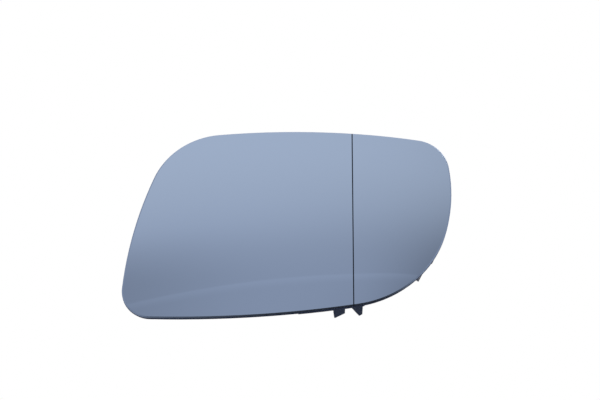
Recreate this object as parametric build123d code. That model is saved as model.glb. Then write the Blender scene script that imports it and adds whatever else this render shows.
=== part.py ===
"""Door mirror glass for one side of a car: a convex pane with an aspheric outer zone, bonded by a
heating film to a moulded backing plate that snaps onto the round head of the mirror adjuster.

Frame: x points outboard, z up, and y from the driver's side of the glass back to the adjuster.
The origin is the middle of the clip ring, halfway along the land that its claws grip with.
All sizes are in millimetres.
"""
from build123d import *
import math
import os

# Face outline, seen from the front: corners where the bowed edges would meet
TOP_INNER_X = -62.5
TOP_INNER_Z = 53.1
TOP_OUTER_X = 86.5
TOP_OUTER_Z = 51.2
BOTTOM_OUTER_X = 65.0
BOTTOM_OUTER_Z = -41.5
BOTTOM_INNER_X = -90.5
BOTTOM_INNER_Z = -52.1

# Face outline: how far the middle of each edge bows out, and the corner radii
TOP_BOW = 5.1
OUTER_BOW = 13.0
BOTTOM_BOW = 5.6
INNER_BOW = 6.6
TOP_INNER_RADIUS = 42.0
TOP_OUTER_RADIUS = 19.0
BOTTOM_OUTER_RADIUS = 60.5
BOTTOM_INNER_RADIUS = 16.0

# Glass: radius of the main zone, sideways radius at the outer tip, line where the aspheric zone starts
MAIN_RADIUS = 1260.0
TIP_RADIUS = 350.0
LINE_X = 36.25
LINE_WIDTH = 0.7
LINE_DEPTH = 0.1
GLASS_THICKNESS = 2.0
GLASS_BEVEL = 0.7

# Heating film between the glass and the plate, with a line of glue on both sides
PAD_THICKNESS = 0.3
PAD_INSET = 2.5
GLUE_LINE = 0.1

# Backing plate: skin and ribs
PLATE_INSET = 0.8
SKIN_THICKNESS = 2.5
SKIN_BEVEL = 0.3
RIB_HEIGHT = 4.0
RIB_THICKNESS = 1.4
RIM_RIB_INSET = 2.8
HOOP_RADIUS = 40.0
SPOKE_COUNT = 16

# Clip ring: claws with an inward barb, standing on the plate
CLAW_COUNT = 8
LAND_RADIUS = 24.5
LAND_LENGTH = 2.0
LAND_REACH = 9.0
BARB_DEPTH = 1.5
CLAW_WALL = 2.0
LEAD_IN = 2.0
CLAW_DRAFT = 0.4
CLAW_GAP = 5.0
CLAW_GAP_FLOOR = 1.5
CORE_CLEARANCE = 0.3
CORE_BRIDGE = 7.0

# Guide forks: two prongs each with a funnel mouth, by the lower edge and by the lower outer corner
LOWER_FORK_X = 33.65
LOWER_FORK_EDGE_GAP = 1.4
OUTER_FORK_ANGLE = 55.6
OUTER_FORK_EDGE_GAP = 2.7
FORK_GAP = 3.75
PRONG_THICKNESS = 2.2
LONG_PRONG_HEIGHT = 15.2
LONG_PRONG_WIDTH = 6.7
LONG_PRONG_LEAN = 0.9
LONG_PRONG_DROP = 5.4
SLANT_PRONG_HEIGHT = 17.0
SLANT_PRONG_WIDTH = 6.0
SLANT_PRONG_FOOT = 2.5
SLANT_PRONG_TIP = 1.7
SLANT_PRONG_DROP = 2.0
PRONG_ROUND = 0.5
GUSSET_WIDTH = 1.4
GUSSET_LENGTH = 6.0
GUSSET_HEIGHT = 9.0

# Low step along the rim that the lower fork stands on, by its reach to both sides of the fork's middle
STEP_INBOARD = 27.5
STEP_OUTBOARD = 8.4
STEP_HEIGHT = 0.6

# Heater terminals: bent blades riveted to the film, in a window of the plate
TERMINAL_X = -51.0
TERMINAL_SPACING = 14.0
BLADE_WIDTH = 6.3
BLADE_THICKNESS = 0.8
BLADE_HEIGHT = 12.0
BLADE_TIP = 1.2
BLADE_HOLE = 1.6
BLADE_HOLE_HEIGHT = 7.6
FOOT_LENGTH = 8.0
FOOT_SEAT_GAP = 0.03
RIVET_SETBACK = 0.8
RIVET_DIAMETER = 2.2
RIVET_CLEARANCE = 0.1
RIVET_HEAD_DIAMETER = 3.8
RIVET_HEAD_HEIGHT = 0.7
RIVET_HEAD_BEVEL = 0.35
WINDOW_MARGIN = 2.0
WINDOW_ROUND = 2.0

# Places along y, from the land of the claws forwards to the apex of the glass
PLATE_BACK_Y = -LAND_REACH
PLATE_FRONT_Y = PLATE_BACK_Y - SKIN_THICKNESS
PAD_BACK_Y = PLATE_FRONT_Y - GLUE_LINE
PAD_FRONT_Y = PAD_BACK_Y - PAD_THICKNESS
GLASS_FRONT_Y = PAD_FRONT_Y - GLUE_LINE - GLASS_THICKNESS

# A length past everything, for cutting tools, and the spacing of the points that carry the glass form
THROUGH = 60.0
FORM_STEP = 8.0


# Corners of the face in turn, clockwise from the top inner one, and the bow of the edge after each
CORNER_ORDER = ["top inner", "top outer", "bottom outer", "bottom inner"]
CORNERS = [
    Vector(TOP_INNER_X, TOP_INNER_Z),
    Vector(TOP_OUTER_X, TOP_OUTER_Z),
    Vector(BOTTOM_OUTER_X, BOTTOM_OUTER_Z),
    Vector(BOTTOM_INNER_X, BOTTOM_INNER_Z),
]
EDGE_BOWS = [TOP_BOW, OUTER_BOW, BOTTOM_BOW, INNER_BOW]
CORNER_RADII = [TOP_INNER_RADIUS, TOP_OUTER_RADIUS, BOTTOM_OUTER_RADIUS, BOTTOM_INNER_RADIUS]


def edge_circle(index):
    """Centre and radius of the bowed edge that follows a corner."""
    start = CORNERS[index]
    end = CORNERS[(index + 1) % len(CORNERS)]
    bow = EDGE_BOWS[index]
    chord = end - start
    radius = (chord.length ** 2 / 4 + bow ** 2) / (2 * bow)
    outwards = Vector(-chord.Y, chord.X).normalized()
    return (start + end) * 0.5 + outwards * (bow - radius), radius


def corner_centre(index):
    """Centre of the corner arc that touches the edges on both sides of a corner."""
    before, before_radius = edge_circle(index - 1)
    after, after_radius = edge_circle(index)
    before_reach = before_radius - CORNER_RADII[index]
    after_reach = after_radius - CORNER_RADII[index]
    apart = after - before
    along = (apart.length ** 2 + before_reach ** 2 - after_reach ** 2) / (2 * apart.length)
    aside = math.sqrt(before_reach ** 2 - along ** 2)
    direction = apart.normalized()
    sideways = Vector(-direction.Y, direction.X) * aside
    crossings = [before + direction * along + sideways, before + direction * along - sideways]
    return min(crossings, key=lambda crossing: (crossing - CORNERS[index]).length)


def arc_about(centre, radius, first, last):
    """Arc about a centre from one direction to another, the short way round."""
    directions = [first.normalized(), (first.normalized() + last.normalized()).normalized(), last.normalized()]
    return ThreePointArc(*[centre + direction * radius for direction in directions])


def face_outline(inset=0.0):
    """Flat outline of the face, drawn in from the edge of the glass by an even inset."""
    count = len(CORNERS)
    arcs = []
    for index in range(count):
        corner = corner_centre(index)
        next_corner = corner_centre((index + 1) % count)
        before = edge_circle(index - 1)[0]
        middle, radius = edge_circle(index)
        arcs.append(arc_about(corner, CORNER_RADII[index] - inset, corner - before, corner - middle))
        arcs.append(arc_about(middle, radius - inset, corner - middle, next_corner - middle))
    return make_face(arcs)


outline_box = face_outline().bounding_box()

# The sideways curvature grows evenly from the line to the outer tip
TIP_GROWTH = (1 / TIP_RADIUS - 1 / MAIN_RADIUS) / (6 * (outline_box.max.X - LINE_X))


def sag(x, z):
    """How far the glass form lies behind its apex at a place on the face."""
    past_line = max(0.0, x - LINE_X)
    return (x * x + z * z) / (2 * MAIN_RADIUS) + TIP_GROWTH * past_line ** 3


def glass_form():
    """The curved front of the glass, wider than the face, with its apex at y = 0."""
    columns = math.ceil(outline_box.size.X / FORM_STEP) + 2
    rows = math.ceil(outline_box.size.Y / FORM_STEP) + 2
    points = []
    for column in range(columns + 1):
        x = outline_box.min.X + (column - 1) * FORM_STEP
        heights = [outline_box.min.Y + (row - 1) * FORM_STEP for row in range(rows + 1)]
        points.append([(x, sag(x, z), z) for z in heights])
    return Face.make_surface_from_array_of_points(points, tol=1e-4)


form = glass_form()


def layer(front_y, thickness):
    """A sheet of even thickness that follows the glass, wider than the face."""
    return Solid.extrude(form.moved(Location((0, front_y, 0))), Vector(0, thickness, 0))


def column(sketch):
    """A flat figure of the face drawn out along y, both ways past everything."""
    return extrude(Plane.XZ * sketch, amount=THROUGH, both=True)


def mirror_glass():
    """The pane: ground bevel round the front, and the shallow line of the aspheric zone."""
    pane = layer(GLASS_FRONT_Y, GLASS_THICKNESS) & column(face_outline())
    front = pane.faces().sort_by(Axis.Y)[0]
    pane = chamfer(front.edges(), GLASS_BEVEL)
    line = Pos(LINE_X, 0) * Rectangle(LINE_WIDTH, 2 * outline_box.size.Y)
    cutter = layer(GLASS_FRONT_Y - GLASS_THICKNESS, GLASS_THICKNESS + LINE_DEPTH) & column(line)
    return pane - cutter


def terminal_seats():
    """Places on the back of the film for the two feet, turned to the slope of the film there."""
    seats = {}
    for name, z in (("upper_terminal", TERMINAL_SPACING / 2), ("lower_terminal", -TERMINAL_SPACING / 2)):
        turn = math.degrees(math.atan(TERMINAL_X / MAIN_RADIUS))
        lean = -math.degrees(math.atan(z / MAIN_RADIUS))
        y = PAD_BACK_Y + sag(TERMINAL_X, z) + FOOT_SEAT_GAP
        seats[name] = Pos(TERMINAL_X, y, z) * Rot(lean, 0, turn)
    return seats


def rivet_bore(diameter):
    """A long pin on the axis of the rivet in a blade's foot."""
    return Pos(-RIVET_SETBACK, 0, 0) * Rot(90, 0, 0) * Cylinder(diameter / 2, 2 * BLADE_HEIGHT)


def terminal():
    """One blade: a foot flat on the film, and a tab at its end with a bevelled tip and a lock hole."""
    heel_x = FOOT_LENGTH / 2
    foot = Pos(0, BLADE_THICKNESS / 2, 0) * Box(FOOT_LENGTH, BLADE_THICKNESS, BLADE_WIDTH)
    tab = Box(BLADE_THICKNESS, BLADE_HEIGHT, BLADE_WIDTH)
    tab = chamfer(tab.edges().filter_by(Axis.X).group_by(Axis.Y)[-1], BLADE_TIP)
    blade = foot + Pos(heel_x - BLADE_THICKNESS / 2, BLADE_HEIGHT / 2, 0) * tab
    bend = blade.edges().filter_by(Axis.Z).sort_by_distance((heel_x, 0, 0))[0]
    blade = fillet(bend, BLADE_THICKNESS)
    lock_hole = Pos(heel_x, BLADE_HOLE_HEIGHT, 0) * Rot(0, 90, 0) * Cylinder(BLADE_HOLE / 2, heel_x)
    return blade - lock_hole - rivet_bore(RIVET_DIAMETER + RIVET_CLEARANCE)


def rivet():
    """One rivet: a bevelled round head on the foot, and a shank down into the film."""
    shank_length = BLADE_THICKNESS + FOOT_SEAT_GAP + PAD_THICKNESS / 2
    head = extrude(Plane.XZ * Circle(RIVET_HEAD_DIAMETER / 2), amount=-RIVET_HEAD_HEIGHT)
    head = chamfer(head.edges().sort_by(Axis.Y)[-1], RIVET_HEAD_BEVEL)
    shank = extrude(Plane.XZ * Circle(RIVET_DIAMETER / 2), amount=shank_length)
    return Pos(-RIVET_SETBACK, BLADE_THICKNESS, 0) * (head + shank)


def heater_pad():
    """The film: a little smaller than the glass, with a hole for each rivet."""
    film = layer(PAD_FRONT_Y, PAD_THICKNESS) & column(face_outline(PAD_INSET))
    for seat in terminal_seats().values():
        film -= seat * rivet_bore(RIVET_DIAMETER + RIVET_CLEARANCE)
    return film


def terminal_window(margin=0.0):
    """Flat figure of the opening in the plate over the terminals, or of a frame's outside round it."""
    width = FOOT_LENGTH + 2 * (WINDOW_MARGIN + margin)
    height = TERMINAL_SPACING + BLADE_WIDTH + 2 * (WINDOW_MARGIN + margin)
    return Pos(TERMINAL_X, 0) * RectangleRounded(width, height, WINDOW_ROUND + margin)


def rib_figure():
    """Flat figure of the ribs: one inside the rim, a hoop, spokes, and a frame for the window."""
    inside = face_outline(RIM_RIB_INSET)
    rim = inside - face_outline(RIM_RIB_INSET + RIB_THICKNESS)
    hoop = Circle(HOOP_RADIUS + RIB_THICKNESS / 2) - Circle(HOOP_RADIUS - RIB_THICKNESS / 2)
    spoke_start = LAND_RADIUS + BARB_DEPTH + CLAW_WALL / 2
    spoke = Pos(spoke_start + THROUGH, 0) * Rectangle(2 * THROUGH, RIB_THICKNESS)
    spokes = [Rot(0, 0, 360 * index / SPOKE_COUNT) * spoke for index in range(SPOKE_COUNT)]
    window = terminal_window()
    frame = terminal_window(RIB_THICKNESS)
    return rim + (hoop + spokes + frame) & inside - window


def clip_ring():
    """The ring of claws: a turned wall with an inward barb, cut into claws by gaps."""
    wall = LAND_RADIUS + BARB_DEPTH
    root_y = PLATE_BACK_Y - SKIN_THICKNESS / 2
    land_back = LAND_LENGTH / 2
    top_y = land_back + LEAD_IN
    section = Polygon(
        (wall + CLAW_WALL, root_y),
        (wall + CLAW_WALL - CLAW_DRAFT, top_y),
        (wall, top_y),
        (LAND_RADIUS, land_back),
        (LAND_RADIUS, -land_back),
        (wall, -land_back - BARB_DEPTH),
        (wall, root_y),
        align=None,
    )
    ring = revolve(section, axis=Axis.Y)
    gap_floor = PLATE_BACK_Y + CLAW_GAP_FLOOR
    gap_height = top_y - gap_floor
    gap = Pos(wall, gap_floor + gap_height, 0) * Box(4 * CLAW_WALL, 2 * gap_height, CLAW_GAP)
    for index in range(CLAW_COUNT):
        ring -= Rot(0, 360 * (index + 0.5) / CLAW_COUNT, 0) * gap
    return ring


def core_windows():
    """Flat figure of the slots under the barbs, which let the mould shape them from the front."""
    slots = Circle(LAND_RADIUS + BARB_DEPTH) - Circle(LAND_RADIUS - CORE_CLEARANCE)
    bridge = Pos(LAND_RADIUS, 0) * Rectangle(4 * BARB_DEPTH, CORE_BRIDGE)
    for index in range(CLAW_COUNT):
        slots -= Rot(0, 0, 360 * (index + 0.5) / CLAW_COUNT) * bridge
    return slots


def guide_fork(centre, radius, tilt):
    """A fork that keeps the plate from turning: a long prong and a slanted one, each with a gusset.

    It stands along the arc with that centre and radius, tilt past the arc's lowest place.
    """
    edgewise = Vector(math.cos(tilt), 0, math.sin(tilt))
    inwards = Vector(-math.sin(tilt), 0, math.cos(tilt))
    foot = Vector(centre.X, 0, centre.Y) - inwards * radius
    skin_back = PLATE_BACK_Y + sag(foot.X, foot.Z)
    root_y = skin_back - SKIN_THICKNESS / 2
    long_tip_y = PLATE_BACK_Y + LONG_PRONG_HEIGHT
    slant_tip_y = PLATE_BACK_Y + SLANT_PRONG_HEIGHT
    half_gap = FORK_GAP / 2
    long_prong = Polygon(
        (-half_gap - LONG_PRONG_WIDTH, root_y),
        (-half_gap - LONG_PRONG_WIDTH + LONG_PRONG_LEAN, long_tip_y),
        (-half_gap, long_tip_y - LONG_PRONG_DROP),
        (-half_gap, root_y),
        align=None,
    )
    slant_prong = Polygon(
        (half_gap, root_y),
        (half_gap, skin_back + SLANT_PRONG_FOOT),
        (half_gap + SLANT_PRONG_WIDTH - SLANT_PRONG_TIP, slant_tip_y),
        (half_gap + SLANT_PRONG_WIDTH, slant_tip_y - SLANT_PRONG_DROP),
        (half_gap + SLANT_PRONG_WIDTH, root_y),
        align=None,
    )
    fork = []
    for profile, middle in (
        (long_prong, -half_gap - LONG_PRONG_WIDTH / 2),
        (slant_prong, half_gap + SLANT_PRONG_WIDTH / 2),
    ):
        tips = profile.vertices().group_by(Axis.Y)[1:]
        profile = fillet([vertex for group in tips for vertex in group], PRONG_ROUND)
        prong = extrude(profile, amount=PRONG_THICKNESS, dir=(0, 0, 1))
        gusset = Plane.YZ * Polygon(
            (root_y, PRONG_THICKNESS / 2),
            (root_y, PRONG_THICKNESS + GUSSET_LENGTH),
            (skin_back + GUSSET_HEIGHT, PRONG_THICKNESS / 2),
            align=None,
        )
        fork.append(prong + Pos(middle, 0, 0) * extrude(gusset, amount=GUSSET_WIDTH / 2, both=True))
    place = Plane(origin=foot, x_dir=edgewise, z_dir=inwards).location
    return [place * prong for prong in fork]


def guide_forks():
    """The fork along the lower edge, and the one round the lower outer corner where that edge starts."""
    bottom_outer = CORNER_ORDER.index("bottom outer")
    middle, radius = edge_circle(bottom_outer)
    tilt = math.asin((LOWER_FORK_X - middle.X) / radius)
    lower_fork = guide_fork(middle, radius - LOWER_FORK_EDGE_GAP, tilt)
    corner = corner_centre(bottom_outer)
    corner_reach = BOTTOM_OUTER_RADIUS - OUTER_FORK_EDGE_GAP
    outer_fork = guide_fork(corner, corner_reach, math.radians(OUTER_FORK_ANGLE))
    return lower_fork + outer_fork


def fork_step():
    """The step under the lower fork, between the plate's edge and the rib inside its rim."""
    strip = face_outline(PLATE_INSET) - face_outline(RIM_RIB_INSET + RIB_THICKNESS / 2)
    middle = LOWER_FORK_X + (STEP_OUTBOARD - STEP_INBOARD) / 2
    below = Pos(middle, -THROUGH) * Rectangle(STEP_INBOARD + STEP_OUTBOARD, 2 * THROUGH)
    depth = SKIN_THICKNESS / 2 + STEP_HEIGHT
    return layer(PLATE_BACK_Y - SKIN_THICKNESS / 2, depth) & column(strip & below)


def backing_plate():
    """The moulding behind the film: skin, ribs, clip ring and guide forks in one piece."""
    skin = layer(PLATE_FRONT_Y, SKIN_THICKNESS) & column(face_outline(PLATE_INSET))
    back = skin.faces().sort_by(Axis.Y)[-1]
    skin = chamfer(back.edges(), SKIN_BEVEL)
    rib_depth = SKIN_THICKNESS / 2 + RIB_HEIGHT
    ribs = layer(PLATE_BACK_Y - SKIN_THICKNESS / 2, rib_depth) & column(rib_figure())
    plate = skin + ribs + fork_step() + clip_ring() + guide_forks()
    openings = terminal_window() + core_windows()
    skin_space = layer(PLATE_FRONT_Y - SKIN_THICKNESS, 2 * SKIN_THICKNESS) & column(openings)
    return plate - skin_space


pieces = {
    "mirror_glass": mirror_glass(),
    "heater_pad": heater_pad(),
    "backing_plate": backing_plate(),
}
for name, seat in terminal_seats().items():
    pieces[name] = seat * terminal()
pieces["terminal_rivets"] = Compound(children=[seat * rivet() for seat in terminal_seats().values()])

os.makedirs("parts", exist_ok=True)
for name, piece in pieces.items():
    export_step(piece, f"parts/{name}.step")
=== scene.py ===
"""Looks of a heated car door mirror glass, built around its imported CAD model.

The pane is modelled anew with an exact curved face, so that it reflects without facets. The film, the
moulded plate, the terminals and the rivets keep their CAD meshes and get their real finishes here.
"""
import math

import bmesh
import bpy
import numpy as np
from bpy.props import FloatProperty, FloatVectorProperty, PointerProperty
from mathutils import Matrix, Vector


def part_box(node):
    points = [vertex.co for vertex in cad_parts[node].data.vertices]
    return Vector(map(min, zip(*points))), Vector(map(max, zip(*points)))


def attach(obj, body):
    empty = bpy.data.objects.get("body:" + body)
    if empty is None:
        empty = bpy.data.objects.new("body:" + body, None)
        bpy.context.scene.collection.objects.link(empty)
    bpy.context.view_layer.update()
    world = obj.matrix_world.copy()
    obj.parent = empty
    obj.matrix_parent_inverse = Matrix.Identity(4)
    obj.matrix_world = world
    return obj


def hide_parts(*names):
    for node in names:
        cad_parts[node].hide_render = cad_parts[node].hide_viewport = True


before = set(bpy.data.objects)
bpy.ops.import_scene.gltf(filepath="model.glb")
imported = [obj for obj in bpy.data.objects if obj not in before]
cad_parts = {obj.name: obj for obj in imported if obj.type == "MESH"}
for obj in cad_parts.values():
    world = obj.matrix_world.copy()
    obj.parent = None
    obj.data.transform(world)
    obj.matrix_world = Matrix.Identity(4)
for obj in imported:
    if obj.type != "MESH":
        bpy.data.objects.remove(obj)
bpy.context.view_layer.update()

bl_info = {
    "name": "Door Mirror Glass",
    "version": (1, 0, 0),
    "blender": (4, 5, 0),
    "location": "3D View > Sidebar > Mirror Glass",
    "description": "Dresses a heated car door mirror glass and sets up its studio",
    "category": "Object",
}

GLASS_LOW, GLASS_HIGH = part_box("mirror_glass")
MM = 0.001
BODY = "root"

# The photograph's frame and the width of film that Blender's lenses are measured on
PICTURE_WIDTH = 600
PICTURE_HEIGHT = 400
FILM_WIDTH_MM = 36.0

# Parts of the pane's surface, by the place of their material on the piece
FACE, BEVEL, EDGE, BACK, LINE = range(5)


def linear(code):
    """Linear colour of an sRGB hex value."""
    shares = [int(code[place:place + 2], 16) / 255 for place in (1, 3, 5)]
    return tuple(s / 12.92 if s <= 0.04045 else ((s + 0.055) / 1.055) ** 2.4 for s in shares)


def colour(name, description, code):
    """A colour that a user may change."""
    return FloatVectorProperty(name=name, description=description, subtype="COLOR", size=3,
                               min=0, max=1, default=linear(code))


def length(name, description, metres):
    """A length that a user may change."""
    return FloatProperty(name=name, description=description, unit="LENGTH", min=0, precision=5,
                         default=metres)


def number(name, description, value, unit="NONE"):
    """A level, a power or a place in the picture that a user may change."""
    return FloatProperty(name=name, description=description, unit=unit, min=0, default=value)


class GlassSettings(bpy.types.PropertyGroup):
    """Form and finish of the pane."""

    main_radius: length("Main radius", "Radius of the convex main zone", 1260 * MM)
    tip_radius: length("Tip radius", "Sideways radius at the outer tip of the aspheric zone", 350 * MM)
    line_place: length("Line place", "Place of the etched line, outboard of the clip ring", 36.12 * MM)
    line_width: length("Line width", "Width of the etched line", 0.6 * MM)
    line_depth: length("Line depth", "Depth of the etched line", 0.1 * MM)
    thickness: length("Thickness", "Thickness of the glass", 2.0 * MM)
    bevel: length("Bevel", "Width of the ground bevel round the front", 0.7 * MM)
    wave: length("Wave", "Width of the faint waves that bending leaves in the glass", 40 * MM)
    coat: colour("Coat", "Blue mirror coat on the front", "#9DADC6")
    ground: colour("Bevel colour", "Coated bevel", "#A3B2CA")
    edge: colour("Edge colour", "Ground edge with a dark seal", "#16213C")
    lacquer: colour("Lacquer", "Backing lacquer", "#1B1E23")
    etched: colour("Line colour", "Etched line", "#070D1A")


class PlateSettings(bpy.types.PropertyGroup):
    """Finish of the backing plate."""

    # The plastic is black; the blue cast in both of its tones is painted bluish light
    plastic: colour("Plastic", "Black moulded plastic", "#1F293E")
    blue_lit_streak: colour("Streak", "Paler flow marks in the plastic", "#27324B")
    grain: length("Grain", "Width of one pit of the spark-eroded grain", 0.9 * MM)
    flow: length("Flow", "Width of the flow marks", 22 * MM)
    wear: length("Wear", "Radius that wear of the mould leaves on the edges", 0.3 * MM)


class FilmSettings(bpy.types.PropertyGroup):
    """Finish of the heating film."""

    film: colour("Film", "Polyester film", "#2A2724")
    track: colour("Track", "Printed heating track", "#A9A9A6")
    pitch: length("Pitch", "Spacing of the printed tracks", 3.0 * MM)


class MetalSettings(bpy.types.PropertyGroup):
    """Finish of the terminals and rivets."""

    tin: colour("Tin", "Tin plating of the terminals", "#C9C7C0")
    brass: colour("Brass", "Bare brass of the rivets", "#C8A45C")
    tarnish: colour("Tarnish", "Tarnish in the brass", "#8E6A34")
    stroke: length("Stroke", "Width of the rolling lines in the strip", 0.25 * MM)
    tarnish_size: length("Tarnish size", "Width of the tarnish clouds", 1.5 * MM)


class StageSettings(bpy.types.PropertyGroup):
    """Camera, floor, glowing sheets and lamps."""

    view_rise: FloatProperty(name="View rise", description="How steeply the camera looks up at the face",
                             subtype="ANGLE", default=math.radians(24))
    view_distance: length("View distance", "From the camera to the middle of the face", 1.3)
    face_scale: number("Face scale", "Picture pixels to a millimetre at the face", 1.827)
    face_column: number("Face column", "Picture column of the middle of the face", 287.05)
    face_row: number("Face row", "Picture row of the middle of the face", 224.8)
    floor_drop: length("Floor drop", "How far the floor lies below the clip ring", 0.64)
    floor: colour("Floor", "Matt painted floor", "#F4F5F6")
    flag_level: number("Flag level", "Glow of the flag's black middle", 0.03)
    spill_level: number("Spill level", "Glow of the flag's greyed sides", 0.5)
    side_level: number("Side level", "Glow of the grey cards at both sides", 0.6)
    top_level: number("Top level", "Glow of the grey card above", 0.85)
    fill: number("Fill", "Level of the room's soft light", 0.9)
    key: number("Key", "Power of the large soft lamp", 16, "POWER")
    rim: number("Rim", "Power of the soft lamp behind", 18, "POWER")


def add_node(tree, kind, settings=None, links=None):
    """Adds a node with its settings, by socket or by property, and with links into its sockets."""
    node = tree.nodes.new(kind)
    for name, value in (settings or {}).items():
        if isinstance(name, int) or name in node.inputs:
            node.inputs[name].default_value = value
        else:
            setattr(node, name, value)
    for name, source in (links or {}).items():
        tree.links.new(source, node.inputs[name])
    return node


def new_material(name):
    """An empty node material, with its tree."""
    material = bpy.data.materials.new(name)
    material.use_nodes = True
    material.node_tree.nodes.clear()
    return material, material.node_tree


def opaque(rgb):
    """A colour with full cover, as sockets hold it."""
    return (*rgb, 1.0)


def pattern_scale(width):
    """Scale of a texture whose features are to be that wide."""
    return 1 / width


def blue_mirror_coat(glass):
    """Chromium and oxide layers, vacuum coated on polished bent glass.

    To the eye it is a clear, bluish reflection, with a faint wave from the bending and a breath of
    haze.
    """
    material, tree = new_material("blue_mirror_coat_on_glass")
    place = add_node(tree, "ShaderNodeTexCoord").outputs["Object"]
    wave = add_node(tree, "ShaderNodeTexNoise",
                    {"Scale": pattern_scale(glass.wave), "Detail": 1.0}, {"Vector": place})
    bent = add_node(tree, "ShaderNodeBump", {"Strength": 1.0, "Distance": 0.008 * MM},
                    {"Height": wave.outputs["Fac"]})
    haze_width = glass.wave / 3
    haze = add_node(tree, "ShaderNodeTexNoise",
                    {"Scale": pattern_scale(haze_width), "Detail": 4.0}, {"Vector": place})
    roughness = add_node(tree, "ShaderNodeMapRange",
                         {"From Min": 0.35, "From Max": 0.7, "To Min": 0.008, "To Max": 0.025},
                         {"Value": haze.outputs["Fac"]})
    shader = add_node(tree, "ShaderNodeBsdfPrincipled",
                      {"Base Color": opaque(glass.coat), "Metallic": 1.0},
                      {"Roughness": roughness.outputs["Result"], "Normal": bent.outputs["Normal"]})
    add_node(tree, "ShaderNodeOutputMaterial", links={"Surface": shader.outputs["BSDF"]})
    return material


def ground_glass(name, rgb, grit, finish):
    """Soda-lime glass, ground or etched, then coated, sealed or lacquered: dull, with fine grit marks.

    The real marks are about 0.05 mm wide; they are drawn coarser so that they show.
    """
    material, tree = new_material(name)
    place = add_node(tree, "ShaderNodeTexCoord").outputs["Object"]
    marks = add_node(tree, "ShaderNodeTexNoise",
                     {"Scale": pattern_scale(grit), "Detail": 3.0}, {"Vector": place})
    mark_share = 0.8
    darker = tuple(mark_share * share for share in rgb)
    tone = add_node(tree, "ShaderNodeMix",
                    {"data_type": "RGBA", 6: opaque(darker), 7: opaque(rgb)}, {0: marks.outputs["Fac"]})
    pitted = add_node(tree, "ShaderNodeBump", {"Strength": 0.4, "Distance": 0.02 * MM},
                      {"Height": marks.outputs["Fac"]})
    shader = add_node(tree, "ShaderNodeBsdfPrincipled", finish,
                      {"Base Color": tone.outputs[2], "Normal": pitted.outputs["Normal"]})
    add_node(tree, "ShaderNodeOutputMaterial", links={"Surface": shader.outputs["BSDF"]})
    return material


def moulded_plastic(plate):
    """Black ABS, injection moulded in a spark-eroded tool: dull sheen, fine grain, faint flow marks. The
    blue in its tone is painted bluish light.

    The real grain is about 0.1 mm wide; it is drawn coarser so that it shows.
    """
    material, tree = new_material("black_abs_moulded_fine_grain")
    place = add_node(tree, "ShaderNodeTexCoord").outputs["Object"]
    flow = add_node(tree, "ShaderNodeTexNoise",
                    {"Scale": pattern_scale(plate.flow), "Detail": 3.0, "Distortion": 0.6},
                    {"Vector": place})
    # Flow marks vary the tone at random; the blue in both tones is painted bluish light
    tone = add_node(tree, "ShaderNodeMix",
                    {"data_type": "RGBA", 6: opaque(plate.plastic), 7: opaque(plate.blue_lit_streak)},
                    {0: flow.outputs["Fac"]})
    grain = add_node(tree, "ShaderNodeTexNoise",
                     {"Scale": pattern_scale(plate.grain), "Detail": 2.0}, {"Vector": place})
    # The mould's corners are worn a little round, which gives every edge a thin glint
    worn = add_node(tree, "ShaderNodeBevel", {"samples": 6, "Radius": plate.wear})
    pitted = add_node(tree, "ShaderNodeBump", {"Strength": 0.35, "Distance": 0.05 * MM},
                      {"Height": grain.outputs["Fac"], "Normal": worn.outputs["Normal"]})
    roughness = add_node(tree, "ShaderNodeMapRange", {"To Min": 0.42, "To Max": 0.58},
                         {"Value": flow.outputs["Fac"]})
    shader = add_node(tree, "ShaderNodeBsdfPrincipled", {"IOR": 1.53},
                      {"Base Color": tone.outputs[2], "Roughness": roughness.outputs["Result"],
                       "Normal": pitted.outputs["Normal"]})
    add_node(tree, "ShaderNodeOutputMaterial", links={"Surface": shader.outputs["BSDF"]})
    return material


def printed_film(film):
    """Polyester film with screen-printed silver tracks: dark and satin between dull metallic lines."""
    material, tree = new_material("polyester_film_printed_tracks")
    place = add_node(tree, "ShaderNodeTexCoord").outputs["Object"]
    # A wave texture repeats its bands every two pi over twenty of its scaled units
    bands = add_node(tree, "ShaderNodeTexWave",
                     {"bands_direction": "Z", "Scale": math.tau / 20 / film.pitch, "Distortion": 0.0},
                     {"Vector": place})
    printed = add_node(tree, "ShaderNodeMapRange", {"From Min": 0.62, "From Max": 0.7},
                       {"Value": bands.outputs["Fac"]})
    tone = add_node(tree, "ShaderNodeMix",
                    {"data_type": "RGBA", 6: opaque(film.film), 7: opaque(film.track)},
                    {0: printed.outputs["Result"]})
    proud = add_node(tree, "ShaderNodeBump", {"Strength": 0.5, "Distance": 0.03 * MM},
                     {"Height": printed.outputs["Result"]})
    metal = add_node(tree, "ShaderNodeMapRange", {"To Max": 0.8}, {"Value": printed.outputs["Result"]})
    shader = add_node(tree, "ShaderNodeBsdfPrincipled", {"Roughness": 0.42, "IOR": 1.57},
                      {"Base Color": tone.outputs[2], "Metallic": metal.outputs["Result"],
                       "Normal": proud.outputs["Normal"]})
    add_node(tree, "ShaderNodeOutputMaterial", links={"Surface": shader.outputs["BSDF"]})
    return material


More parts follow.
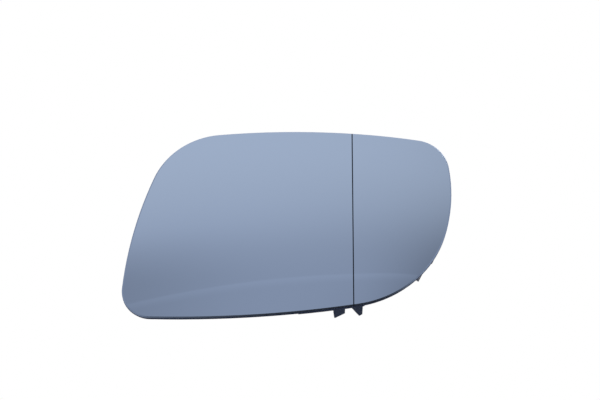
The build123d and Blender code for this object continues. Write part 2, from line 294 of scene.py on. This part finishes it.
def tinned_strip(metal):
    """Tin-plated brass strip, rolled and stamped: soft silvery shine with lines along the blade.

    The real lines are a few hundredths of a millimetre wide; they are drawn coarser so that they show.
    """
    material, tree = new_material("tinned_brass_strip_rolled")
    place = add_node(tree, "ShaderNodeTexCoord").outputs["Object"]
    # The lines run along y, so they are drawn out that way
    drawn_out = 20
    drawn = add_node(tree, "ShaderNodeMapping", {"Scale": (1.0, 1 / drawn_out, 1.0)}, {"Vector": place})
    lines = add_node(tree, "ShaderNodeTexNoise",
                     {"Scale": pattern_scale(metal.stroke), "Detail": 3.0},
                     {"Vector": drawn.outputs["Vector"]})
    roughness = add_node(tree, "ShaderNodeMapRange", {"To Min": 0.24, "To Max": 0.44},
                         {"Value": lines.outputs["Fac"]})
    scored = add_node(tree, "ShaderNodeBump", {"Strength": 0.2, "Distance": 0.02 * MM},
                      {"Height": lines.outputs["Fac"]})
    shader = add_node(tree, "ShaderNodeBsdfPrincipled",
                      {"Base Color": opaque(metal.tin), "Metallic": 1.0},
                      {"Roughness": roughness.outputs["Result"], "Normal": scored.outputs["Normal"]})
    add_node(tree, "ShaderNodeOutputMaterial", links={"Surface": shader.outputs["BSDF"]})
    return material


def bare_brass(metal):
    """Bare brass, upset cold: warm satin metal with small clouds of tarnish."""
    material, tree = new_material("bare_brass_upset")
    place = add_node(tree, "ShaderNodeTexCoord").outputs["Object"]
    clouds = add_node(tree, "ShaderNodeTexNoise",
                      {"Scale": pattern_scale(metal.tarnish_size), "Detail": 4.0}, {"Vector": place})
    cover = add_node(tree, "ShaderNodeMapRange", {"From Min": 0.5, "From Max": 0.75},
                     {"Value": clouds.outputs["Fac"]})
    tone = add_node(tree, "ShaderNodeMix",
                    {"data_type": "RGBA", 6: opaque(metal.brass), 7: opaque(metal.tarnish)},
                    {0: cover.outputs["Result"]})
    roughness = add_node(tree, "ShaderNodeMapRange", {"To Min": 0.26, "To Max": 0.5},
                         {"Value": cover.outputs["Result"]})
    shader = add_node(tree, "ShaderNodeBsdfPrincipled", {"Metallic": 1.0},
                      {"Base Color": tone.outputs[2], "Roughness": roughness.outputs["Result"]})
    add_node(tree, "ShaderNodeOutputMaterial", links={"Surface": shader.outputs["BSDF"]})
    return material


def matt_emulsion(stage):
    """Matt emulsion, rolled on a smooth floor: dull and even, with a trace of stipple."""
    material, tree = new_material("matt_emulsion_floor")
    stipple_width = 2 * MM
    place = add_node(tree, "ShaderNodeTexCoord").outputs["Object"]
    stipple = add_node(tree, "ShaderNodeTexNoise",
                       {"Scale": pattern_scale(stipple_width), "Detail": 2.0}, {"Vector": place})
    raised = add_node(tree, "ShaderNodeBump", {"Strength": 0.1, "Distance": 0.1 * MM},
                      {"Height": stipple.outputs["Fac"]})
    shader = add_node(tree, "ShaderNodeBsdfPrincipled",
                      {"Base Color": opaque(stage.floor), "Roughness": 0.9},
                      {"Normal": raised.outputs["Normal"]})
    add_node(tree, "ShaderNodeOutputMaterial", links={"Surface": shader.outputs["BSDF"]})
    return material


def tip_growth(glass):
    """How fast the sideways curve tightens from the etched line to the outer tip."""
    return (1 / glass.tip_radius - 1 / glass.main_radius) / (6 * (GLASS_HIGH.x - glass.line_place))


def face_depth(x, z, glass):
    """How far the face lies behind its apex."""
    past_line = np.maximum(0.0, x - glass.line_place)
    return (x * x + z * z) / (2 * glass.main_radius) + tip_growth(glass) * past_line ** 3


def face_normals(points, glass):
    """Outward normals of the face at many places."""
    past_line = np.maximum(0.0, points[:, 0] - glass.line_place)
    slope_x = points[:, 0] / glass.main_radius + 3 * tip_growth(glass) * past_line ** 2
    slope_z = points[:, 2] / glass.main_radius
    normals = np.stack([slope_x, -np.ones(len(points)), slope_z], axis=1)
    return normals / np.linalg.norm(normals, axis=1, keepdims=True)


def pane_outline(glass):
    """Places in turn round the CAD pane's rear rim, no more than a step apart."""
    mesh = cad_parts["mirror_glass"].data
    # Faces with less of a normal along y belong to the edge, and points past this depth to its rear rim
    edge_normal = 0.2
    rear_share = 0.9
    step = 1.5 * MM
    digits = 7
    rim = set()
    for face in mesh.polygons:
        if abs(face.normal.y) > edge_normal:
            continue
        for index in face.vertices:
            x, y, z = mesh.vertices[index].co
            if y - GLASS_LOW.y - face_depth(x, z, glass) > rear_share * glass.thickness:
                rim.add((round(x, digits), round(z, digits)))
    if not rim:
        raise RuntimeError("The CAD pane shows no rear rim")
    places = np.array(sorted(rim))
    middle = (places.min(axis=0) + places.max(axis=0)) / 2
    turn = np.arctan2(places[:, 1] - middle[1], places[:, 0] - middle[0])
    places = places[np.argsort(turn)]
    outline = []
    for start, end in zip(places, np.roll(places, -1, axis=0)):
        count = max(1, math.ceil(np.linalg.norm(end - start) / step))
        outline += [start + (end - start) * share / count for share in range(count)]
    return np.array(outline), middle


def pane_rings(glass):
    """Rings of the pane's skin from the middle of its back, round the edge, to the middle of its face.

    Each comes with the part of the surface that leads to it.
    """
    outline, middle = pane_outline(glass)
    along = np.roll(outline, -1, axis=0) - np.roll(outline, 1, axis=0)
    outwards = np.stack([along[:, 1], -along[:, 0]], axis=1)
    outwards /= np.linalg.norm(outwards, axis=1, keepdims=True)
    inner = outline - outwards * glass.bevel
    back_shares = (0.25, 0.5, 0.75, 1.0)
    face_count = 48

    def ring(flat, depth):
        x, z = flat.T
        return np.stack([x, GLASS_LOW.y + face_depth(x, z, glass) + depth, z], axis=1)

    rings = []
    for share in back_shares:
        rings.append((BACK, ring(middle + (outline - middle) * share, glass.thickness)))
    rings.append((EDGE, ring(outline, glass.bevel)))
    rings.append((BEVEL, ring(inner, 0.0)))
    for step in range(face_count - 1, 0, -1):
        rings.append((FACE, ring(middle + (inner - middle) * step / face_count, 0.0)))
    return rings, middle


def etch_line(skin, glass):
    """Sinks the strip of the face between two upright cuts; it and its ends get their own finish."""
    weld = 1e-7
    for side in (-1, 1):
        front = [face for face in skin.faces if face.material_index in (FACE, BEVEL)]
        # Kept in order, so that every run numbers the mesh alike
        edges = dict.fromkeys(edge for face in front for edge in face.edges)
        corners = dict.fromkeys(corner for face in front for corner in face.verts)
        cut = Vector((glass.line_place + side * glass.line_width / 2, 0, 0))
        bmesh.ops.bisect_plane(skin, geom=[*corners, *edges, *front], dist=weld,
                               plane_co=cut, plane_no=(1, 0, 0))
    marked = []
    for face in skin.faces:
        aside = abs(face.calc_center_median().x - glass.line_place)
        if face.material_index in (FACE, BEVEL) and aside < glass.line_width / 2:
            marked.append(face)
    strip = [face for face in marked if face.material_index == FACE]
    for face in marked:
        face.material_index = LINE
    sink = Vector((0, glass.line_depth, 0))
    sunk = {}
    for corner in dict.fromkeys(corner for face in strip for corner in face.verts):
        sunk[corner] = skin.verts.new(corner.co + sink)
    for face in strip:
        skin.faces.new([sunk[corner] for corner in face.verts]).material_index = LINE
        for loop in face.loops:
            # Along the strip's rim a wall joins the face to the sunk floor
            if sum(near in strip for near in loop.edge.link_faces) == 1:
                start, end = loop.vert, loop.link_loop_next.vert
                skin.faces.new((start, end, sunk[end], sunk[start])).material_index = LINE
    bmesh.ops.delete(skin, geom=strip, context="FACES")


def pane_mesh(glass):
    """The pane as one closed skin, with the face's exact normals."""
    rings, middle = pane_rings(glass)
    skin = bmesh.new()
    count = len(rings[0][1])
    loops = [[skin.verts.new(place) for place in places] for _, places in rings]
    depth = GLASS_LOW.y + face_depth(middle[0], middle[1], glass)
    back_middle = skin.verts.new((middle[0], depth + glass.thickness, middle[1]))
    face_middle = skin.verts.new((middle[0], depth, middle[1]))
    for index in range(count):
        after = (index + 1) % count
        skin.faces.new((back_middle, loops[0][after], loops[0][index])).material_index = BACK
        skin.faces.new((face_middle, loops[-1][index], loops[-1][after])).material_index = FACE
        for lower, upper, (part, _) in zip(loops, loops[1:], rings[1:]):
            quad = skin.faces.new((lower[index], lower[after], upper[after], upper[index]))
            quad.material_index = part
    etch_line(skin, glass)
    bmesh.ops.recalc_face_normals(skin, faces=skin.faces)
    for face in skin.faces:
        face.smooth = True
    for edge in skin.edges:
        edge.smooth = len({face.material_index for face in edge.link_faces}) == 1
    mesh = bpy.data.meshes.new("mirror_pane")
    skin.to_mesh(mesh)
    skin.free()
    places = np.array([corner.co for corner in mesh.vertices])
    exact = face_normals(places, glass)
    normals = np.zeros((len(mesh.loops), 3))
    for face in mesh.polygons:
        if face.material_index == FACE:
            for loop in face.loop_indices:
                normals[loop] = exact[mesh.loops[loop].vertex_index]
    mesh.normals_split_custom_set(normals)
    return mesh


def dress_nodes(names, material):
    """Gives CAD nodes, as they are, one finish."""
    for name in names:
        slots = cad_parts[name].data.materials
        slots.clear()
        slots.append(material)


def stand_stage(name, mesh):
    """A piece of the studio from a mesh, kept apart from the object."""
    piece = bpy.data.objects.new(name, mesh)
    bpy.context.scene.collection.objects.link(piece)
    return piece


def flat_sheet(name, size):
    """A flat sheet that faces along its z."""
    mesh = bpy.data.meshes.new(name)
    x, y = size[0] / 2, size[1] / 2
    mesh.from_pydata([(-x, -y, 0), (x, -y, 0), (x, y, 0), (-x, y, 0)], [], [(0, 1, 2, 3)])
    return mesh


def soft_border(tree, light, place, size, soft):
    """Lets a glowing sheet fade out along its borders, so that no edge of it shows in the mirror."""
    parts = add_node(tree, "ShaderNodeSeparateXYZ", links={"Vector": place})
    rises = []
    for axis, reach in (("X", size[0] / 2), ("Y", size[1] / 2)):
        aside = add_node(tree, "ShaderNodeMath", {"operation": "ABSOLUTE"}, {0: parts.outputs[axis]})
        strip = {"interpolation_type": "SMOOTHSTEP", "From Min": reach - soft, "From Max": reach}
        rises.append(add_node(tree, "ShaderNodeMapRange", strip, {"Value": aside.outputs[0]}))
    fade = add_node(tree, "ShaderNodeMath", {"operation": "MAXIMUM"},
                    {0: rises[0].outputs["Result"], 1: rises[1].outputs["Result"]})
    clear = add_node(tree, "ShaderNodeBsdfTransparent")
    mixed = add_node(tree, "ShaderNodeMixShader", {},
                     {0: fade.outputs[0], 1: light.outputs["Emission"], 2: clear.outputs["BSDF"]})
    add_node(tree, "ShaderNodeOutputMaterial", links={"Surface": mixed.outputs["Shader"]})


def facing(place, target):
    """Placement at a point with z towards a target and y as upright as can be."""
    towards = (target - place).normalized()
    sideways = Vector((0, 0, 1)).cross(towards).normalized()
    upwards = towards.cross(sideways)
    turn = Matrix((sideways, upwards, towards)).transposed()
    return Matrix.Translation(place) @ turn.to_4x4()


def graded_panel(size):
    """Glowing panel that the face looks into: pale above, greyer below, with a paler strip at its foot.

    Places on it are in metres from its middle.
    """
    material, tree = new_material("graded_studio_panel")
    soft = 0.25
    darkest = 0.35
    dark_round = 0.1
    arch_bend = -0.0811
    arch_tilt = 0.0956
    arch_height = -0.191
    cool = opaque((0.958, 0.984, 1.058))
    neutral = opaque((0.996, 1.0, 1.004))
    place = add_node(tree, "ShaderNodeTexCoord").outputs["Object"]
    parts = add_node(tree, "ShaderNodeSeparateXYZ", links={"Vector": place})
    up = parts.outputs["Y"]
    # Seen from the object the panel's own x runs to the left
    turned = add_node(tree, "ShaderNodeMath", {"operation": "MULTIPLY", 1: -1.0}, {0: parts.outputs["X"]})
    across = turned.outputs[0]
    ease = {"interpolation_type": "SMOOTHSTEP"}
    low = add_node(tree, "ShaderNodeMapRange",
                   {**ease, "From Min": -0.122, "From Max": 0.071, "To Min": 0.771, "To Max": 0.84},
                   {"Value": up})
    high = add_node(tree, "ShaderNodeMapRange",
                    {**ease, "From Min": -0.127, "From Max": 0.268, "To Max": 0.16}, {"Value": up})
    upright = add_node(tree, "ShaderNodeMath", {"operation": "ADD"},
                       {0: low.outputs["Result"], 1: high.outputs["Result"]})
    # To the right it dims with the square of the way, more so below; to the left it dims below only
    right_way = add_node(tree, "ShaderNodeMapRange",
                         {"From Min": -0.239, "From Max": 0.761}, {"Value": across})
    right_square = add_node(tree, "ShaderNodeMath", {"operation": "POWER", 1: 2.0},
                            {0: right_way.outputs["Result"]})
    right_share = add_node(tree, "ShaderNodeMapRange",
                           {**ease, "From Min": -0.566, "From Max": 0.224,
                            "To Min": 1.419, "To Max": 0.166}, {"Value": up})
    left_way = add_node(tree, "ShaderNodeMapRange",
                        {"From Min": 0.218, "From Max": -0.782}, {"Value": across})
    left_share = add_node(tree, "ShaderNodeMapRange",
                          {**ease, "From Min": -0.213, "From Max": -0.003,
                           "To Min": 0.432, "To Max": 0.0}, {"Value": up})
    left = add_node(tree, "ShaderNodeMath", {"operation": "MULTIPLY"},
                    {0: left_way.outputs["Result"], 1: left_share.outputs["Result"]})
    dim = add_node(tree, "ShaderNodeMath", {"operation": "MULTIPLY_ADD"},
                   {0: right_square.outputs[0], 1: right_share.outputs["Result"], 2: left.outputs[0]})
    left_over = add_node(tree, "ShaderNodeMath", {"operation": "SUBTRACT", 0: 1.0}, {1: dim.outputs[0]})
    kept = add_node(tree, "ShaderNodeMath", {"operation": "SMOOTH_MAX", 1: darkest, 2: dark_round},
                    {0: left_over.outputs[0]})
    # The foot strip has a sharp upper edge, a shallow arch, and fades downwards
    slope = add_node(tree, "ShaderNodeMath", {"operation": "MULTIPLY_ADD", 1: arch_bend, 2: arch_tilt},
                     {0: across})
    arch = add_node(tree, "ShaderNodeMath", {"operation": "MULTIPLY_ADD", 2: arch_height},
                    {0: slope.outputs[0], 1: across})
    above = add_node(tree, "ShaderNodeMath", {"operation": "SUBTRACT"}, {0: up, 1: arch.outputs[0]})
    strip_top = add_node(tree, "ShaderNodeMapRange",
                         {**ease, "From Min": -0.006, "From Max": 0.001, "To Min": 1.0, "To Max": 0.0},
                         {"Value": above.outputs[0]})
    strip_fade = add_node(tree, "ShaderNodeMapRange",
                          {**ease, "From Min": -0.032, "From Max": 0.0, "To Max": 0.058},
                          {"Value": above.outputs[0]})
    strip = add_node(tree, "ShaderNodeMath", {"operation": "MULTIPLY"},
                     {0: strip_top.outputs["Result"], 1: strip_fade.outputs["Result"]})
    glow = add_node(tree, "ShaderNodeMath", {"operation": "MULTIPLY_ADD"},
                    {0: upright.outputs[0], 1: kept.outputs[0], 2: strip.outputs[0]})
    tone = add_node(tree, "ShaderNodeMapRange",
                    {**ease, "From Min": -0.25, "From Max": 0.17}, {"Value": up})
    tint = add_node(tree, "ShaderNodeMix", {"data_type": "RGBA", 6: cool, 7: neutral},
                    {0: tone.outputs["Result"]})
    light = add_node(tree, "ShaderNodeEmission", {},
                     {"Color": tint.outputs[2], "Strength": glow.outputs[0]})
    soft_border(tree, light, place, size, soft)
    return material


def shade_card(name, size, soft, middle, rise, levels):
    """Dim card, bluish as open shade, whose glow rises to both sides of a middle line."""
    material, tree = new_material(name)
    open_shade = opaque((0.93, 0.98, 1.1))
    place = add_node(tree, "ShaderNodeTexCoord").outputs["Object"]
    across = add_node(tree, "ShaderNodeSeparateXYZ", links={"Vector": place}).outputs["X"]
    offset = add_node(tree, "ShaderNodeMath", {"operation": "SUBTRACT", 1: middle}, {0: across})
    aside = add_node(tree, "ShaderNodeMath", {"operation": "ABSOLUTE"}, {0: offset.outputs[0]})
    glow = add_node(tree, "ShaderNodeMapRange",
                    {"interpolation_type": "SMOOTHSTEP", "From Min": rise[0], "From Max": rise[1],
                     "To Min": levels[0], "To Max": levels[1]}, {"Value": aside.outputs[0]})
    light = add_node(tree, "ShaderNodeEmission", {"Color": open_shade},
                     {"Strength": glow.outputs["Result"]})
    soft_border(tree, light, place, size, soft)
    return material


def studio_room(stage):
    """White to the eye and in reflections, and a softer level as light."""
    world = bpy.data.worlds.new("studio_room")
    world.use_nodes = True
    tree = world.node_tree
    tree.nodes.clear()
    rays = add_node(tree, "ShaderNodeLightPath").outputs
    mirrored = add_node(tree, "ShaderNodeMath", {"operation": "ADD"},
                        {0: rays["Is Glossy Ray"], 1: rays["Is Transmission Ray"]})
    shown = add_node(tree, "ShaderNodeMath", {"operation": "ADD", "use_clamp": True},
                     {0: rays["Is Camera Ray"], 1: mirrored.outputs[0]})
    white = opaque((1.0, 1.0, 1.0))
    soft = add_node(tree, "ShaderNodeBackground", {"Color": white, "Strength": stage.fill})
    full = add_node(tree, "ShaderNodeBackground", {"Color": white, "Strength": 1.0})
    mixed = add_node(tree, "ShaderNodeMixShader", {},
                     {0: shown.outputs[0], 1: soft.outputs["Background"], 2: full.outputs["Background"]})
    add_node(tree, "ShaderNodeOutputWorld", links={"Surface": mixed.outputs["Shader"]})
    bpy.context.scene.world = world


def soft_lamp(name, place, target, size, power):
    """A square soft lamp that points at a target."""
    light = bpy.data.lights.new(name, "AREA")
    light.shape = "SQUARE"
    light.size = size
    light.energy = power
    lamp = bpy.data.objects.new(name, light)
    # A lamp shines against its own z, so that points from the target to the lamp
    lamp.matrix_world = facing(target, place)
    lamp.location = place
    bpy.context.scene.collection.objects.link(lamp)
    return lamp


def face_apex():
    """The foremost place of the glass."""
    return Vector((0, GLASS_LOW.y, 0))


def place_camera(stage):
    """Camera below the face, looking up at it as in the photograph."""
    forward = Vector((0, math.cos(stage.view_rise), math.sin(stage.view_rise)))
    upward = Vector((0, -math.sin(stage.view_rise), math.cos(stage.view_rise)))
    scale = stage.face_scale / MM
    aside = (PICTURE_WIDTH / 2 - stage.face_column) / scale
    above = (stage.face_row - PICTURE_HEIGHT / 2) / scale
    data = bpy.data.cameras.new("camera")
    data.sensor_fit = "HORIZONTAL"
    data.sensor_width = FILM_WIDTH_MM
    data.lens = stage.view_distance * scale * FILM_WIDTH_MM / PICTURE_WIDTH
    camera = bpy.data.objects.new("camera", data)
    camera.location = face_apex() - forward * stage.view_distance + upward * above
    camera.location.x += aside
    camera.rotation_euler = (math.pi / 2 + stage.view_rise, 0, 0)
    bpy.context.scene.collection.objects.link(camera)
    bpy.context.scene.camera = camera


def stand_panel(stage):
    """Stands the graded panel where the face mirrors it to the camera."""
    size = (2.4, 1.3)
    reach = 2.0
    towards = Vector((0, -math.cos(stage.view_rise), math.sin(stage.view_rise)))
    panel = stand_stage("graded_panel", flat_sheet("graded_panel", size))
    panel.matrix_world = facing(face_apex() + reach * towards, face_apex())
    panel.data.materials.append(graded_panel(size))
    return panel


def stand_cards(stage):
    """Stands the dim cards that the bevel and other views mirror: a flag below, and grey ones round it."""
    even = (0, 1)
    dark = (stage.flag_level, stage.spill_level)
    side = (stage.side_level, stage.side_level)
    top = (stage.top_level, stage.top_level)
    # Turns are in degrees about x and y
    sheets = (
        ("black_flag", (2.4, 1.9), 0.4, (0, 0.38, -0.181), (10.7, 0), 0.14, (0.12, 0.42), dark),
        ("left_card", (2.94, 2.4), 0.25, (-1.2, 0, 0.83), (0, 90), 0, even, side),
        ("right_card", (2.94, 2.4), 0.25, (1.2, 0, 0.83), (0, 90), 0, even, side),
        ("top_card", (3.2, 2.4), 0.4, (0, 0.8, 1.7), (0, 0), 0, even, top),
    )
    cards = []
    for name, size, soft, place, turn, middle, rise, levels in sheets:
        card = stand_stage(name, flat_sheet(name, size))
        card.location = place
        card.rotation_euler = (math.radians(turn[0]), math.radians(turn[1]), 0)
        card.data.materials.append(shade_card(name, size, soft, middle, rise, levels))
        cards.append(card)
    return cards


class MIRROR_OT_pane(bpy.types.Operator):
    """Model the coated pane and put it in the CAD pane's place"""

    bl_idname = "mirror_glass.pane"
    bl_label = "Pane"

    def execute(self, context):
        glass = context.scene.mirror_pane
        pane = bpy.data.objects.new("mirror_pane", pane_mesh(glass))
        context.scene.collection.objects.link(pane)
        grit = 0.4 * MM
        etch_grit = 0.3 * MM
        lacquer_grain = 1.0 * MM
        lacquered = {"Roughness": 0.6, "IOR": 1.52}
        coated = {"Roughness": 0.3, "Metallic": 1.0}
        sealed = {"Roughness": 0.8, "IOR": 1.5, "Specular IOR Level": 0.15}
        finishes = {
            FACE: blue_mirror_coat(glass),
            BEVEL: ground_glass("mirror_coat_on_ground_bevel", glass.ground, grit, coated),
            EDGE: ground_glass("sealed_ground_glass_edge", glass.edge, grit, sealed),
            BACK: ground_glass("backing_lacquer_on_glass", glass.lacquer, lacquer_grain, lacquered),
            LINE: ground_glass("glass_etched_and_inked", glass.etched, etch_grit, sealed),
        }
        for part in sorted(finishes):
            pane.data.materials.append(finishes[part])
        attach(pane, BODY)
        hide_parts("mirror_glass")
        return {"FINISHED"}


class MIRROR_OT_film(bpy.types.Operator):
    """Finish the heating film"""

    bl_idname = "mirror_glass.film"
    bl_label = "Heating film"

    def execute(self, context):
        dress_nodes(["heater_pad"], printed_film(context.scene.mirror_film))
        return {"FINISHED"}


class MIRROR_OT_plate(bpy.types.Operator):
    """Finish the backing plate"""

    bl_idname = "mirror_glass.plate"
    bl_label = "Backing plate"

    def execute(self, context):
        dress_nodes(["backing_plate"], moulded_plastic(context.scene.mirror_plate))
        return {"FINISHED"}


class MIRROR_OT_terminals(bpy.types.Operator):
    """Finish the two terminals and their rivets"""

    bl_idname = "mirror_glass.terminals"
    bl_label = "Terminals and rivets"

    def execute(self, context):
        metal = context.scene.mirror_metal
        dress_nodes(["upper_terminal", "lower_terminal"], tinned_strip(metal))
        dress_nodes(["terminal_rivets"], bare_brass(metal))
        return {"FINISHED"}


class MIRROR_OT_stage(bpy.types.Operator):
    """Set up the floor, the glowing sheets, the lamps and the camera"""

    bl_idname = "mirror_glass.stage"
    bl_label = "Studio"

    def execute(self, context):
        stage = context.scene.mirror_stage
        floor_size = (14, 14)
        floor = stand_stage("floor", flat_sheet("floor", floor_size))
        floor.location.z = -stage.floor_drop
        floor.data.materials.append(matt_emulsion(stage))
        # The sheets show in the mirror alone
        for sheet in (stand_panel(stage), *stand_cards(stage)):
            sheet.visible_camera = False
            sheet.visible_diffuse = False
            sheet.visible_shadow = False
        studio_room(stage)
        middle = Vector((0, 0, 0))
        key_place = Vector((-1.1, -1.3, 1.5))
        rim_place = Vector((1.2, 1.5, 1.3))
        key_size = 1.2
        rim_size = 1.0
        key = soft_lamp("key_lamp", key_place, middle, key_size, stage.key)
        # Its square would stand out in the mirror
        key.visible_glossy = False
        soft_lamp("rim_lamp", rim_place, middle, rim_size, stage.rim)
        place_camera(stage)
        context.scene.view_settings.view_transform = "Standard"
        return {"FINISHED"}


OPERATORS = (MIRROR_OT_pane, MIRROR_OT_film, MIRROR_OT_plate, MIRROR_OT_terminals, MIRROR_OT_stage)


class MIRROR_PT_panel(bpy.types.Panel):
    """The steps that dress the mirror glass"""

    bl_label = "Mirror Glass"
    bl_idname = "MIRROR_PT_panel"
    bl_space_type = "VIEW_3D"
    bl_region_type = "UI"
    bl_category = "Mirror Glass"

    def draw(self, context):
        for operator in OPERATORS:
            self.layout.operator(operator.bl_idname)


SETTINGS = {
    "mirror_pane": GlassSettings,
    "mirror_plate": PlateSettings,
    "mirror_film": FilmSettings,
    "mirror_metal": MetalSettings,
    "mirror_stage": StageSettings,
}
CLASSES = (*SETTINGS.values(), *OPERATORS, MIRROR_PT_panel)


def register():
    """Registers the classes, and hangs the settings on the scene."""
    for kind in CLASSES:
        bpy.utils.register_class(kind)
    for name, group in SETTINGS.items():
        setattr(bpy.types.Scene, name, PointerProperty(type=group))


def unregister():
    """Undoes register."""
    for name in SETTINGS:
        delattr(bpy.types.Scene, name)
    for kind in reversed(CLASSES):
        bpy.utils.unregister_class(kind)


def main():
    """Registers the add-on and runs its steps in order."""
    register()
    bpy.ops.mirror_glass.pane()
    bpy.ops.mirror_glass.film()
    bpy.ops.mirror_glass.plate()
    bpy.ops.mirror_glass.terminals()
    bpy.ops.mirror_glass.stage()


if __name__ == "__main__":
    main()
